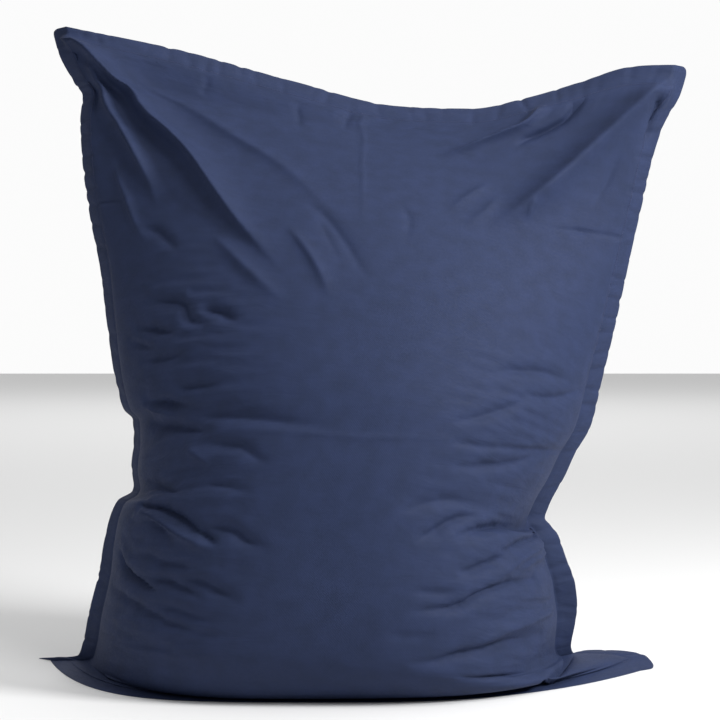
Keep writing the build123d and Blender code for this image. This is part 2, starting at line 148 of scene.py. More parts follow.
# ---------------------------------------------------------------------------------------------------------
# The cover's folds over the front panel's flat cut: height in mm (a valley's is negative), width in mm to
# the left and right of its line, strength at its two ends, and the line's points in metres from the
# middle and from the bottom edge.
# ---------------------------------------------------------------------------------------------------------
FRONT_FOLDS = [
    # from the left horn
    (22, 62, 19, 0.95, 0, [
        (-0.661, 1.761), (-0.614, 1.712), (-0.581, 1.661), (-0.535, 1.553), (-0.450, 1.461),
        (-0.383, 1.367), (-0.327, 1.271), (-0.269, 1.173), (-0.208, 1.092), (-0.158, 1.031),
    ]),
    (17, 41, 23, 0.8, 0, [
        (-0.621, 1.671), (-0.620, 1.571), (-0.569, 1.472), (-0.519, 1.364), (-0.486, 1.286),
        (-0.469, 1.214),
    ]),
    (5, 19, 16, 0, 0, [
        (-0.605, 1.401), (-0.573, 1.313), (-0.547, 1.236), (-0.521, 1.159), (-0.494, 1.103),
    ]),
    (-4, 16, 21, 0, 0, [(-0.521, 1.170), (-0.480, 1.162), (-0.446, 1.130), (-0.412, 1.089)]),
    (4, 62, 37, 0.3, 0, [
        (-0.531, 1.678), (-0.438, 1.590), (-0.308, 1.506), (-0.184, 1.409), (-0.086, 1.289),
        (-0.030, 1.188),
    ]),
    (-3, 25, 29, 0, 0, [
        (-0.131, 1.286), (-0.075, 1.233), (-0.030, 1.154), (0.008, 1.069), (0.036, 1.031),
    ]),
    (-1.5, 16, 21, 0, 0, [(-0.091, 1.231), (-0.063, 1.149), (-0.037, 1.068)]),
    (4, 29, 16, 0, 0, [(-0.164, 1.194), (-0.124, 1.123), (-0.085, 1.048), (-0.050, 0.964)]),
    (4, 33, 25, 0, 0, [(-0.339, 1.150), (-0.264, 1.061), (-0.187, 0.987), (-0.141, 0.952)]),
    (-9, 12, 12, 0.6, 0, [(-0.643, 1.629), (-0.642, 1.554), (-0.643, 1.486)]),
    # left of the belly
    (-5, 12, 21, 0, 0, [
        (-0.501, 0.980), (-0.439, 0.971), (-0.392, 0.958), (-0.369, 0.920), (-0.331, 0.908),
        (-0.287, 0.907),
    ]),
    (-6, 14, 19, 0, 0, [(-0.350, 0.943), (-0.308, 0.936), (-0.270, 0.919), (-0.247, 0.903)]),
    (-6, 10, 16, 0.3, 0, [(-0.514, 0.919), (-0.450, 0.906), (-0.397, 0.892)]),
    (-4, 10, 14, 0.3, 0, [(-0.553, 0.900), (-0.486, 0.875), (-0.441, 0.876)]),
    (-4, 10, 14, 0, 0, [(-0.496, 0.852), (-0.431, 0.847), (-0.370, 0.846)]),
    (-4, 16, 14, 0, 0, [(-0.403, 0.786), (-0.347, 0.783), (-0.281, 0.781)]),
    (-7, 10, 16, 0.3, 0, [(-0.506, 0.778), (-0.443, 0.763), (-0.375, 0.747)]),
    (5, 12, 12, 0.3, 0, [(-0.519, 0.770), (-0.472, 0.747), (-0.410, 0.726)]),
    (-5, 25, 12, 0, 0, [
        (-0.404, 0.726), (-0.291, 0.715), (-0.196, 0.704), (-0.104, 0.691), (-0.019, 0.686),
    ]),
    (-7, 10, 14, 0.4, 0, [(-0.517, 0.728), (-0.401, 0.708), (-0.339, 0.694), (-0.287, 0.685)]),
    (1.2, 6, 6, 0, 0, [(-0.296, 0.687), (-0.122, 0.675), (0.028, 0.669), (0.153, 0.678), (0.267, 0.690)]),
    (-4, 16, 19, 0, 0, [
        (-0.329, 0.668), (-0.274, 0.659), (-0.225, 0.650), (-0.174, 0.620), (-0.139, 0.603),
    ]),
    (3, 12, 12, 0, 0, [(-0.373, 0.669), (-0.321, 0.637), (-0.279, 0.608)]),
    (-4, 12, 12, 0.3, 0, [(-0.505, 0.605), (-0.410, 0.572), (-0.334, 0.547)]),
    (-3, 14, 14, 0, 0, [(-0.311, 0.578), (-0.243, 0.563), (-0.165, 0.546)]),
    # lower left
    (-10, 14, 8, 0.6, 0, [
        (-0.473, 0.526), (-0.399, 0.514), (-0.336, 0.492), (-0.283, 0.463), (-0.230, 0.437),
    ]),
    (6, 8, 10, 0.6, 0, [
        (-0.457, 0.509), (-0.386, 0.486), (-0.328, 0.460), (-0.267, 0.436), (-0.231, 0.428),
    ]),
    (-5, 8, 10, 0.3, 0, [(-0.428, 0.492), (-0.383, 0.472), (-0.342, 0.453)]),
    (-6, 14, 19, 0, 0, [
        (-0.281, 0.472), (-0.246, 0.474), (-0.208, 0.469), (-0.176, 0.448), (-0.122, 0.436),
    ]),
    (-5, 8, 10, 0, 0, [(-0.285, 0.469), (-0.259, 0.452), (-0.236, 0.439)]),
    (-4, 12, 12, 0.2, 0, [(-0.417, 0.421), (-0.375, 0.403), (-0.324, 0.396), (-0.278, 0.386)]),
    (-8, 8, 8, 0.6, 0, [
        (-0.529, 0.414), (-0.502, 0.386), (-0.449, 0.363), (-0.397, 0.347), (-0.353, 0.333),
    ]),
    (-6, 10, 12, 0.2, 0, [
        (-0.419, 0.369), (-0.358, 0.364), (-0.319, 0.353), (-0.281, 0.339), (-0.247, 0.328),
    ]),
    (-5, 12, 14, 0, 0, [(-0.328, 0.374), (-0.275, 0.364), (-0.228, 0.347), (-0.181, 0.333)]),
    (-4, 12, 12, 0, 0, [(-0.375, 0.319), (-0.319, 0.311), (-0.276, 0.302), (-0.231, 0.294)]),
    (-4, 8, 10, 0.3, 0, [
        (-0.566, 0.342), (-0.458, 0.322), (-0.386, 0.303), (-0.314, 0.283), (-0.247, 0.272),
        (-0.198, 0.263),
    ]),
    # right of the belly and lower right
    (-7, 12, 19, 0, 0, [(0.154, 0.463), (0.202, 0.487), (0.257, 0.519), (0.304, 0.537), (0.355, 0.544)]),
    (-12, 12, 25, 0, 0.6, [
        (0.231, 0.469), (0.281, 0.492), (0.343, 0.514), (0.440, 0.539), (0.592, 0.546), (0.687, 0.524),
    ]),
    (-7, 10, 12, 0, 0.8, [(0.350, 0.453), (0.406, 0.469), (0.503, 0.497), (0.674, 0.518)]),
    (-7, 10, 16, 0, 0, [(0.231, 0.406), (0.286, 0.422), (0.346, 0.441), (0.410, 0.458)]),
    (5, 12, 12, 0, 0.5, [(0.303, 0.383), (0.368, 0.419), (0.465, 0.458), (0.661, 0.489)]),
    (4, 10, 10, 0, 0.5, [(0.393, 0.409), (0.478, 0.442), (0.669, 0.469)]),
    (-8, 10, 14, 0, 0.4, [
        (0.113, 0.326), (0.169, 0.333), (0.230, 0.343), (0.281, 0.369), (0.356, 0.392), (0.479, 0.409),
    ]),
    (-8, 10, 16, 0, 0.2, [
        (0.124, 0.231), (0.198, 0.241), (0.247, 0.256), (0.308, 0.264), (0.364, 0.275), (0.483, 0.275),
    ]),
    (4, 10, 12, 0, 0.4, [(0.219, 0.252), (0.281, 0.274), (0.360, 0.297), (0.556, 0.324)]),
    (-5, 16, 16, 0, 0, [(0.209, 0.210), (0.267, 0.193), (0.347, 0.202), (0.445, 0.209)]),
    (-2, 16, 16, 0, 0, [(0.080, 0.281), (0.137, 0.281), (0.194, 0.286)]),
    (-3, 12, 16, 0, 0, [(0.131, 0.367), (0.193, 0.369), (0.246, 0.376)]),
    (-3, 8, 10, 0, 0.3, [(0.187, 0.676), (0.294, 0.685), (0.408, 0.703), (0.607, 0.741)]),
    (-5, 19, 16, 0, 0, [(0.237, 0.626), (0.336, 0.647), (0.422, 0.675), (0.508, 0.717)]),
    (-3, 14, 14, 0, 0, [(0.201, 0.717), (0.267, 0.746), (0.331, 0.781), (0.408, 0.842)]),
    (-4, 12, 12, 0, 0.2, [(0.379, 0.841), (0.456, 0.858), (0.597, 0.919)]),
    (-4, 14, 16, 0, 0, [(0.297, 0.869), (0.377, 0.899), (0.484, 0.924), (0.568, 0.925)]),
    (-3, 16, 16, 0, 0, [(0.131, 0.517), (0.185, 0.543), (0.258, 0.564), (0.342, 0.567)]),
    # from the right horn
    (25, 78, 56, 0.9, 0, [
        (0.624, 1.741), (0.596, 1.696), (0.564, 1.647), (0.511, 1.572), (0.442, 1.468), (0.375, 1.372),
        (0.300, 1.275),
    ]),
    (3, 25, 25, 0, 0, [(0.331, 1.421), (0.298, 1.346), (0.244, 1.269)]),
    (-8, 21, 16, 0.6, 0, [
        (0.458, 1.733), (0.453, 1.700), (0.419, 1.671), (0.376, 1.646), (0.349, 1.601),
    ]),
    (11, 29, 19, 0.6, 0, [
        (0.369, 1.744), (0.356, 1.703), (0.320, 1.673), (0.269, 1.629), (0.214, 1.581), (0.170, 1.546),
    ]),
    (-8, 10, 10, 0.5, 0, [(0.667, 1.786), (0.646, 1.757), (0.630, 1.724)]),
    (-24, 16, 14, 0.7, 0, [(0.639, 1.717), (0.658, 1.662), (0.668, 1.591)]),
    (-2, 12, 12, 0, 0, [(0.603, 1.601), (0.581, 1.503), (0.553, 1.419)]),
    (-2, 6, 8, 0, 0.6, [(0.448, 1.338), (0.524, 1.356), (0.603, 1.364), (0.700, 1.367)]),
    (-2, 8, 10, 0, 0, [(0.514, 1.364), (0.542, 1.358), (0.572, 1.361)]),
    (3, 8, 8, 0, 0, [(0.409, 1.412), (0.402, 1.379), (0.397, 1.339)]),
    (3, 21, 16, 0, 0, [(0.310, 1.467), (0.262, 1.401), (0.208, 1.317)]),
    (-1.5, 16, 16, 0, 0, [(0.093, 1.331), (0.120, 1.260), (0.108, 1.168)]),
    # right of the belly and lower right
    (-12, 16, 10, 0.6, 0.2, [(0.674, 0.192), (0.490, 0.158), (0.385, 0.111), (0.360, 0.009)]),
    # lower left
    (-9, 10, 14, 0.6, 0.2, [(-0.647, 0.097), (-0.551, 0.099), (-0.456, 0.068), (-0.367, 0.033)]),
    # top seam and packing creases
    (-1.5, 12, 12, 0.5, 0, [(-0.143, 1.714), (-0.148, 1.652), (-0.158, 1.564)]),
    (-2, 16, 16, 0.5, 0, [(-0.037, 1.762), (-0.036, 1.708), (-0.047, 1.615)]),
    (-1, 12, 12, 0.5, 0, [(-0.348, 1.714), (-0.358, 1.683), (-0.375, 1.656)]),
    (1.2, 6, 6, 0.8, 0, [(-0.009, 1.787), (0.003, 1.536), (0.013, 1.310), (0.010, 1.161)]),
    (-2, 6, 6, 0.8, 0.3, [(-0.690, 1.256), (-0.622, 1.250), (-0.554, 1.252)]),
]


def smooth_curve(points, places):
    """Values at the places on a smooth curve through the points that never overshoots them."""
    points = np.array(points, float)
    x, y = points[:, 0], points[:, 1:]
    step = np.diff(x)[:, None]
    slope = np.diff(y, axis=0) / step
    tangent = np.zeros_like(y)
    before, after = slope[:-1], slope[1:]
    same_way = before * after > 0
    w_before, w_after = 2 * step[1:] + step[:-1], step[1:] + 2 * step[:-1]
    with np.errstate(divide="ignore", invalid="ignore"):
        blended = (w_before + w_after) / (w_before / before + w_after / after)
    tangent[1:-1] = np.where(same_way, blended, 0)
    tangent[0], tangent[-1] = slope[0], slope[-1]
    k = np.clip(np.searchsorted(x, places, side="right") - 1, 0, len(x) - 2)
    t = ((places - x[k]) / (x[k + 1] - x[k]))[:, None]
    h = step[k]
    value = (
        y[k] * (2 * t**3 - 3 * t**2 + 1) + h * tangent[k] * (t**3 - 2 * t**2 + t)
        + y[k + 1] * (3 * t**2 - 2 * t**3) + h * tangent[k + 1] * (t**3 - t**2)
    )
    return value[:, 0] if value.shape[1] == 1 else value


def smoothstep(low, high, x):
    t = np.clip((x - low) / (high - low), 0, 1)
    return t * t * (3 - 2 * t)


def place(shares):
    """Shares of half the width, half the depth and the height, in metres."""
    return shares * np.array([half_width, half_depth, height]) + np.array([middle_x, 0, 0])


def even_columns(rows, count):
    """The same rows with their columns evenly spaced along each row's length."""
    out = np.empty((len(rows), count, 3))
    for i, row in enumerate(rows):
        along = np.concatenate([[0], np.cumsum(np.linalg.norm(np.diff(row, axis=0), axis=1))])
        even = np.linspace(0, along[-1], count)
        for axis in range(3):
            out[i, :, axis] = np.interp(even, along, row[:, axis])
    return out


def seam_line(edge, spread, climb, inwards):
    """The stitched line along one side: a flange's width in from the edge, and forward of it."""
    share = smooth_curve(spread, climb)
    return edge + np.stack([inwards * share, -np.sqrt(1 - share**2), 0 * share], axis=1) * FLANGE


def panel_grid(centre_line, roundness):
    """One panel as a grid of points over its flat cut: its full body and the flange round it."""
    climb = np.linspace(0, 1, ROWS)
    left, right = place(smooth_curve(LEFT_EDGE, climb)), place(smooth_curve(RIGHT_EDGE, climb))
    centre = place(np.insert(smooth_curve(centre_line, climb), 0, 0, axis=1))
    left_seam = seam_line(left, LEFT_SPREAD, climb, 1)
    right_seam = seam_line(right, RIGHT_SPREAD, climb, -1)
    across = np.linspace(-1, 1, 241)
    middle, half = (left_seam + right_seam)[:, None] / 2, (right_seam - left_seam)[:, None] / 2
    bulge = centre[:, None] - middle
    pull = np.where(across > 0, smooth_curve(FIN_PULL, climb)[:, None], 1)
    power = smooth_curve(roundness, climb)[:, None] * pull
    full = (1 - np.abs(across) ** power) ** smooth_curve(STEEPNESS, climb)[:, None]
    upper = smoothstep(0.55, 1.0, climb)[:, None]
    sag = upper * smooth_curve(TOP_SAG, across) + (1 - upper) * (1 - np.abs(across) ** 2.5)
    body = np.stack([
        middle[..., 0] + half[..., 0] * across,
        middle[..., 1] + half[..., 1] * across**3 + bulge[..., 1] * full,
        middle[..., 2] + half[..., 2] * across + bulge[..., 2] * sag,
    ], axis=-1)
    grid = np.empty((ROWS, COLUMNS, 3))
    grid[:, BAND:-BAND] = even_columns(body, COLUMNS - 2 * BAND)
    out = (np.arange(BAND, 0, -1) / BAND)[None, :, None]
    grid[:, :BAND] = left_seam[:, None] + (left - left_seam)[:, None] * out
    grid[:, -BAND:] = right_seam[:, None] + (right - right_seam)[:, None] * out[:, ::-1]
    seam_row = ROWS - 1 - BAND
    rise = np.array([0, TOP_FLANGE_LEAN, math.sqrt(1 - TOP_FLANGE_LEAN**2)]) * FLANGE
    for k in range(1, BAND + 1):
        row = grid[seam_row + k]
        row[BAND:-BAND] = grid[seam_row, BAND:-BAND] + rise * k / BAND
        fade = (1 - smoothstep(0, CORNER_BLEND, np.arange(COLUMNS - 2 * BAND)))[:, None]
        left_step = 2 * row[BAND - 1] - row[BAND - 2] - row[BAND]
        right_step = 2 * row[-BAND] - row[1 - BAND] - row[-BAND - 1]
        row[BAND:-BAND] += left_step * fade + right_step * fade[::-1]
    return grid


# ---------------------------------------------------------------------------------------------------------
# Cloth: folds laid into a panel, then settled
# ---------------------------------------------------------------------------------------------------------
flat_u, flat_v = np.meshgrid(
    np.linspace(-CUT_WIDTH / 2, CUT_WIDTH / 2, COLUMNS), np.linspace(0, CUT_LENGTH, ROWS),
)
inside_seam = np.minimum(CUT_WIDTH / 2 - np.abs(flat_u), np.minimum(flat_v, CUT_LENGTH - flat_v)) - FLANGE


def outward(grid, front):
    """Unit normals of a panel's grid, out of the bag."""
    normal = np.cross(np.gradient(grid, axis=1), np.gradient(grid, axis=0))
    normal /= np.maximum(np.linalg.norm(normal, axis=2, keepdims=True), 1e-12)
    return normal if front else -normal


def fold_depth(folds):
    """How far the folds lift each point of the flat cut, in metres."""
    depth = np.zeros_like(flat_u)
    for lift, left_width, right_width, start, end, points in folds:
        points = np.array(points)
        along = np.concatenate([[0], np.cumsum(np.linalg.norm(np.diff(points, axis=0), axis=1))])
        share = np.linspace(0, 1, 25)
        line = smooth_curve(np.column_stack([along / along[-1], points]), share)
        reach = 0.0035 * max(left_width, right_width)
        low, high = line.min(axis=0) - reach, line.max(axis=0) + reach
        near = (flat_u > low[0]) & (flat_u < high[0]) & (flat_v > low[1]) & (flat_v < high[1])
        spot = np.stack([flat_u[near], flat_v[near]], axis=1)[:, None]
        step = np.diff(line, axis=0)
        gap = spot - line[:-1]
        on = np.clip((gap * step).sum(axis=2) / (step**2).sum(axis=1), 0, 1)
        off = gap - on[..., None] * step
        distance = np.linalg.norm(off, axis=2)
        best = distance.argmin(axis=1)
        pick = (np.arange(len(best)), best)
        turn = step[best, 0] * gap[pick][:, 1] - step[best, 1] * gap[pick][:, 0]
        width = np.where(turn > 0, left_width, right_width) / 1000 * FOLD_WIDTH
        place_on = (best + on[pick]) / len(step)
        strength = (start + (1 - start) * smoothstep(0, 0.35, place_on)) * (
            end + (1 - end) * (1 - smoothstep(0.55, 1, place_on))
        )
        share_off = distance[pick] / width
        falloff = np.exp(0.25 - np.sqrt(0.0625 + (1.5 * share_off) ** 2))
        depth[near] += FOLD_LIFT * lift / 1000 * strength * falloff
    return depth * smoothstep(-0.6 * FLANGE, 0.5 * FLANGE, inside_seam)


def settle(grid, slack, held, rounds, bend):
    """The grid after its cloth has been given slack along its length and across it, and has buckled.

    Each thread between neighbouring points pulls or pushes towards its rest length, the cloth resists
    sharp bends, and every point is drawn back to where it started with the strength given by held.
    """
    links = []
    for down, right, share in (
        (1, 0, 1.0), (0, 1, 1.0), (1, 1, 0.5), (1, -1, 0.5), (2, 0, bend), (0, 2, 3 * bend),
    ):
        rows, columns = grid.shape[:2]
        first = (slice(0, rows - down), slice(max(0, -right), columns - max(0, right)))
        second = (slice(down, rows), slice(max(0, right), columns - max(0, -right)))
        rest = np.linalg.norm(grid[second] - grid[first], axis=2)
        weight = down / (down + abs(right))
        spare = weight * slack[0] + (1 - weight) * slack[1]
        links.append((first, second, rest * (1 + (spare[first] + spare[second]) / 2), share))
    points = grid.copy()
    noise = np.random.default_rng(11).normal(size=grid.shape[:2])
    for _ in range(8):
        noise[:, 1:-1] = (noise[:, :-2] + noise[:, 1:-1] + noise[:, 2:]) / 3
    normal = outward(grid, True)
    size = np.linalg.norm(grid[1:, :] - grid[:-1, :], axis=2).mean()
    points += normal * (noise * np.clip(slack[0] * 25, 0, 1) * size * 0.8)[..., None]
    for _ in range(rounds):
        move = np.zeros_like(points)
        for first, second, rest, share in links:
            gap = points[second] - points[first]
            length = np.sqrt((gap**2).sum(axis=2))
            gap *= (share * 0.17 * (length - rest) / np.maximum(length, 1e-9))[..., None]
            move[first] += gap
            move[second] -= gap
        points += move
        points += (grid - points) * held[..., None]
        off = points - grid
        far = np.sqrt((off**2).sum(axis=2, keepdims=True))
        points = grid + off * np.minimum(1, SETTLE_CAP / np.maximum(far, 1e-9))
        points[..., 2] = np.maximum(points[..., 2], FLOOR_CLEARANCE)
    return points


def settled(grid, slack, held):
    """The grid settled on a coarse net first, for the broad buckles, and then on all its points."""
    thin = (slice(None, None, COARSE), slice(None, None, COARSE))
    slack_on_net = [field[thin] for field in slack]
    coarse = settle(grid[thin], slack_on_net, held[thin], COARSE_ROUNDS, COARSE_BEND) - grid[thin]
    rows = np.arange(ROWS) / COARSE
    columns = np.arange(COLUMNS) / COARSE
    row = np.minimum(rows.astype(int), coarse.shape[0] - 2)
    column = np.minimum(columns.astype(int), coarse.shape[1] - 2)
    down, right = (rows - row)[:, None, None], (columns - column)[None, :, None]
    down, right = down * down * (3 - 2 * down), right * right * (3 - 2 * right)
    upper = coarse[row][:, column] * (1 - right) + coarse[row][:, column + 1] * right
    lower = coarse[row + 1][:, column] * (1 - right) + coarse[row + 1][:, column + 1] * right
    moved = grid + upper * (1 - down) + lower * down
    return settle(moved, [field * 0.6 for field in slack], held, FINE_ROUNDS, FINE_BEND)


def cloth_sheet(name, grid, flip, crumple, across, along):
    """A mesh of one panel, with its flat cut in metres as UV map and its crumpling as an attribute."""
    rows, columns = grid.shape[:2]
    index = np.arange(rows * columns).reshape(rows, columns)
    corners_of_each = [index[:-1, :-1], index[:-1, 1:], index[1:, 1:], index[1:, :-1]]
    quads = np.stack(corners_of_each, axis=-1).reshape(-1, 4)
    if flip:
        quads = quads[:, ::-1]
    mesh = bpy.data.meshes.new(name)
    mesh.from_pydata(grid.reshape(-1, 3).tolist(), [], quads.tolist())
    flat = np.stack([across, along], axis=-1).reshape(-1, 2)
    layer = mesh.uv_layers.new(name="flat_cut")
    corners = np.empty(len(mesh.loops), dtype=np.int32)
    mesh.loops.foreach_get("vertex_index", corners)
    layer.data.foreach_set("uv", flat[corners].ravel())
    mesh.attributes.new("crumple", "FLOAT", "POINT").data.foreach_set("value", crumple.ravel())
    mesh.shade_smooth()
    sheet = bpy.data.objects.new(name, mesh)
    bpy.context.collection.objects.link(sheet)
    return sheet


def round_corners(grid):
    """Rounds the cut's four corners, in place."""
    cells = round(CORNER_RADIUS / CELL)
    steps = np.arange(cells + 1)
    down, right = np.meshgrid(steps, steps, indexing="ij")
    longer = np.maximum(np.maximum(down, right), 1)
    shrink = np.where(down + right > 0, longer / np.maximum(np.hypot(down, right), 1), 1)
    for block in (grid[cells::-1, cells::-1], grid[cells::-1, -1 - cells:], grid[-1 - cells:, cells::-1],
                  grid[-1 - cells:, -1 - cells:]):
        before = block.copy()
        row, column = down * shrink, right * shrink
        i, j = np.minimum(row.astype(int), cells - 1), np.minimum(column.astype(int), cells - 1)
        s, t = (row - i)[..., None], (column - j)[..., None]
        near = before[i, j] * (1 - t) + before[i, j + 1] * t
        far = before[i + 1, j] * (1 - t) + before[i + 1, j + 1] * t
        block[...] = near * (1 - s) + far * s


def behind_facing(grid):
    """Lays the back of the cover flat behind the zip's facing, in place, and clear of the zip."""
    low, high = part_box("zip_facing")
    aside = np.maximum(np.maximum(low.x - grid[..., 0], grid[..., 0] - high.x), 0)
    above = np.maximum(np.maximum(low.z - grid[..., 2], grid[..., 2] - high.z), 0)
    away = np.hypot(aside, above)
    rear = grid[..., 1] > 0.15
    limit = np.where(away < 0.0005, low.y + 0.004, high.y - 0.0006 + 0.35 * away)
    grid[..., 1] = np.where(rear, np.minimum(grid[..., 1], limit), grid[..., 1])


front_grid = panel_grid(FRONT_LINE, FRONT_ROUNDNESS)
back_grid = panel_grid(BACK_LINE, BACK_ROUNDNESS)

side = np.abs(flat_u) / (CUT_WIDTH / 2 - FLANGE)
in_flange = smoothstep(0.2 * FLANGE, -0.1 * FLANGE, inside_seam)
flank = smoothstep(0.12, 0.60, side) * (1 - 0.75 * smoothstep(0.70, 0.97, side)) * (1 - in_flange)
waist_top = np.where(flat_u < 0, 0.98, 0.92)
waist = smoothstep(0.08, 0.25, flat_v) * (1 - smoothstep(-0.06, 0.08, flat_v - waist_top))
top_gather = smoothstep(0.14, 0.0, inside_seam) * smoothstep(1.55, 1.75, flat_v) * (1 - in_flange)
flank *= np.where((flat_u > 0) & (flat_v > 0.55), 0.65, 1)
along_slack = 0.004 + 0.055 * flank * waist + 0.012 * flank * (1 - waist) + 0.022 * in_flange
across_slack = 0.002 + 0.020 * top_gather + 0.015 * in_flange
crumple = np.clip(flank * waist + 0.5 * top_gather + 0.6 * in_flange + 0.15, 0, 1)
held = 0.020 + 0.05 * in_flange + 0.5 * smoothstep(0.5 * CELL, 0, np.abs(inside_seam) - 0.3 * CELL)
held = np.where(flat_v < 0.06, 0.3, held)



def flange_creases(seed):
    """Small creases across the flange, at uneven steps along it, in metres below its surface."""
    chance = np.random.default_rng(seed)
    depth = np.zeros_like(flat_u)
    out = np.clip(-inside_seam / FLANGE, -0.4, 1)
    sides = (
        (flat_v, flat_u < FLANGE - CUT_WIDTH / 2 + 0.02, CUT_LENGTH),
        (flat_v, flat_u > CUT_WIDTH / 2 - FLANGE - 0.02, CUT_LENGTH),
        (flat_u + CUT_WIDTH / 2, flat_v > CUT_LENGTH - FLANGE - 0.02, CUT_WIDTH),
    )
    for along, there, length in sides:
        at = 0.08
        while at < length - 0.08:
            slant, width = chance.uniform(-0.012, 0.012), chance.uniform(0.004, 0.009)
            deep = chance.uniform(0.0006, 0.0032)
            fade = np.clip(1.2 - abs(out - chance.uniform(0, 1)), 0, 1)
            away = (along - at - slant * out) / width
            depth += np.where(there, deep * fade * np.exp(-away**2), 0)
            at += chance.uniform(0.022, 0.075)
    return depth * smoothstep(0.35 * FLANGE, -0.1 * FLANGE, inside_seam)


BACK_SHARE = 0.7              # the back's folds are the front's, turned round and shallower
back_folds = [
    (lift * BACK_SHARE, right_width, left_width, start, end, [(-u, v) for u, v in points])
    for lift, left_width, right_width, start, end, points in FRONT_FOLDS
    if min(v for u, v in points) > 0.42
]
plain_front, plain_back = front_grid.copy(), back_grid.copy()
front_lift = fold_depth(FRONT_FOLDS) - flange_creases(5) - 0.0012 * np.exp(-(inside_seam / 0.005) ** 2)
front_grid += outward(front_grid, True) * front_lift[..., None]
back_grid += outward(back_grid, False) * fold_depth(back_folds)[..., None]
front_grid = settled(front_grid, (along_slack, across_slack), held)
zip_calm = smoothstep(0.52, 0.44, flat_v) * smoothstep(0.26, 0.32, flat_v) * (np.abs(flat_u) < 0.5)
back_slack = (along_slack * (1 - zip_calm), across_slack * (1 - zip_calm))
back_grid = settled(back_grid, back_slack, held + 0.3 * zip_calm)

behind_facing(back_grid)

# The flange's two layers lie together, meet at the turned edge and are drawn together at the seam.
flange_shape = np.clip(-inside_seam / FLANGE, 0, 1)
layer_gap = LAYERS / 2 * np.interp(flange_shape, [0.0, 0.08, 0.25, 0.9, 1.0], [0.35, 0.5, 1.0, 0.8, 0.02])
flange_points = inside_seam < CELL / 2
outer = outward(front_grid, True)
flange_middle = front_grid[flange_points]
front_grid[flange_points] = flange_middle + (outer * layer_gap[..., None])[flange_points]
back_grid[flange_points] = flange_middle - (outer * layer_gap[..., None])[flange_points]
for grid in (front_grid, back_grid):
    round_corners(grid)
    grid[..., 2] = np.maximum(grid[..., 2], FLOOR_CLEARANCE)


def inner_grids(inset, least_room, first_row, top_row):
    """The front and back of what hangs inside: the bag's body without its folds, closed all round."""
    front, back, across, along = [], [], [], []
    for row in range(first_row, top_row, 3):
        room = np.linalg.norm(plain_back[row] - plain_front[row], axis=1)
        wide = np.flatnonzero(room > min(least_room, 0.8 * room.max()))
        columns = np.linspace(wide[0], wide[-1], LINER_COLUMNS)
        cells = np.arange(COLUMNS)
        front.append(np.column_stack([np.interp(columns, cells, plain_front[row, :, k]) for k in range(3)]))
        back.append(np.column_stack([np.interp(columns, cells, plain_back[row, :, k]) for k in range(3)]))
        across.append(np.interp(columns, cells, flat_u[row]))
        along.append(np.interp(columns, cells, flat_v[row]))
    front, back = np.array(front), np.array(back)
    between = back - front
    room = np.maximum(np.linalg.norm(between, axis=2), 1e-6)
    rows, columns = np.arange(front.shape[0]), np.arange(front.shape[1])
    rim = np.minimum(
        np.minimum(rows[::-1] / 12, rows / 5)[:, None], np.minimum(columns, columns[::-1])[None] / 5,
    )
    share = np.clip(inset / room, 0, 0.45)
    share = (share + (0.5 - share) * (1 - smoothstep(0, 1, rim)))[..., None]
    return front + between * share, back - between * share, np.array(across), np.array(along)


def weld(front, back):
    """Joins two sheets that meet along their rims into the first of them."""
    joined = bmesh.new()
    joined.from_mesh(front.data)
    joined.from_mesh(back.data)
    bmesh.ops.remove_doubles(joined, verts=joined.verts, dist=1e-5)
    joined.to_mesh(front.data)
    joined.free()
    front.data.shade_smooth()
    bpy.data.objects.remove(back)


def closure_strip(name, rim, away, thickness):
    """A strip that hangs from the middle of the liner's top edge, its near face away metres behind it."""
    points, faces = [], []
    for x, y, z in rim:
        top, bottom = z + CLOSURE_WIDTH / 2, z - CLOSURE_WIDTH / 2
        points += [(x, y + away, bottom), (x, y + away + thickness, bottom),
                   (x, y + away + thickness, top), (x, y + away, top)]
    for i in range(0, len(points) - 4, 4):
        faces += [(i + k, i + 4 + k, i + 4 + (k + 1) % 4, i + (k + 1) % 4) for k in range(4)]
    faces += [(0, 1, 2, 3), tuple(len(points) - k for k in (1, 2, 3, 4))]
    mesh = bpy.data.meshes.new(name)
    mesh.from_pydata([tuple(map(float, point)) for point in points], [], faces)
    strip = bpy.data.objects.new(name, mesh)
    bpy.context.collection.objects.link(strip)
    return strip


cover_front = cloth_sheet("cover_front", front_grid, False, crumple, flat_u, flat_v)
cover_back = cloth_sheet("cover_back", back_grid, True, crumple, flat_u, flat_v)
liner_front_grid, liner_back_grid, liner_u, liner_v = inner_grids(
    LINER_GAP, LINER_ROOM, round(0.09 / CELL), ROWS - BAND - 14,
)
liner_front = cloth_sheet("liner_front", liner_front_grid, False, 0 * liner_u, liner_u, liner_v)
liner_back = cloth_sheet("liner_back", liner_back_grid, True, 0 * liner_u, liner_u, liner_v)
beads_front_grid, beads_back_grid, beads_u, beads_v = inner_grids(
    LINER_GAP + BEADS_INSIDE, LINER_ROOM + 0.05, round(0.13 / CELL), round(BEADS_TOP / CELL),
)
beads = cloth_sheet("beads", beads_front_grid, False, 0 * beads_u, beads_u, beads_v)
weld(beads, cloth_sheet("beads_behind", beads_back_grid, True, 0 * beads_u, beads_u, beads_v))
closure_rim = liner_front_grid[-1][np.abs(liner_u[-1]) < CLOSURE_LENGTH / 2]
loop_strip = closure_strip("loop_strip", closure_rim, -CLOSURE_THICKNESS, CLOSURE_THICKNESS)
hook_strip = closure_strip("hook_strip", closure_rim, 0.0, CLOSURE_THICKNESS)


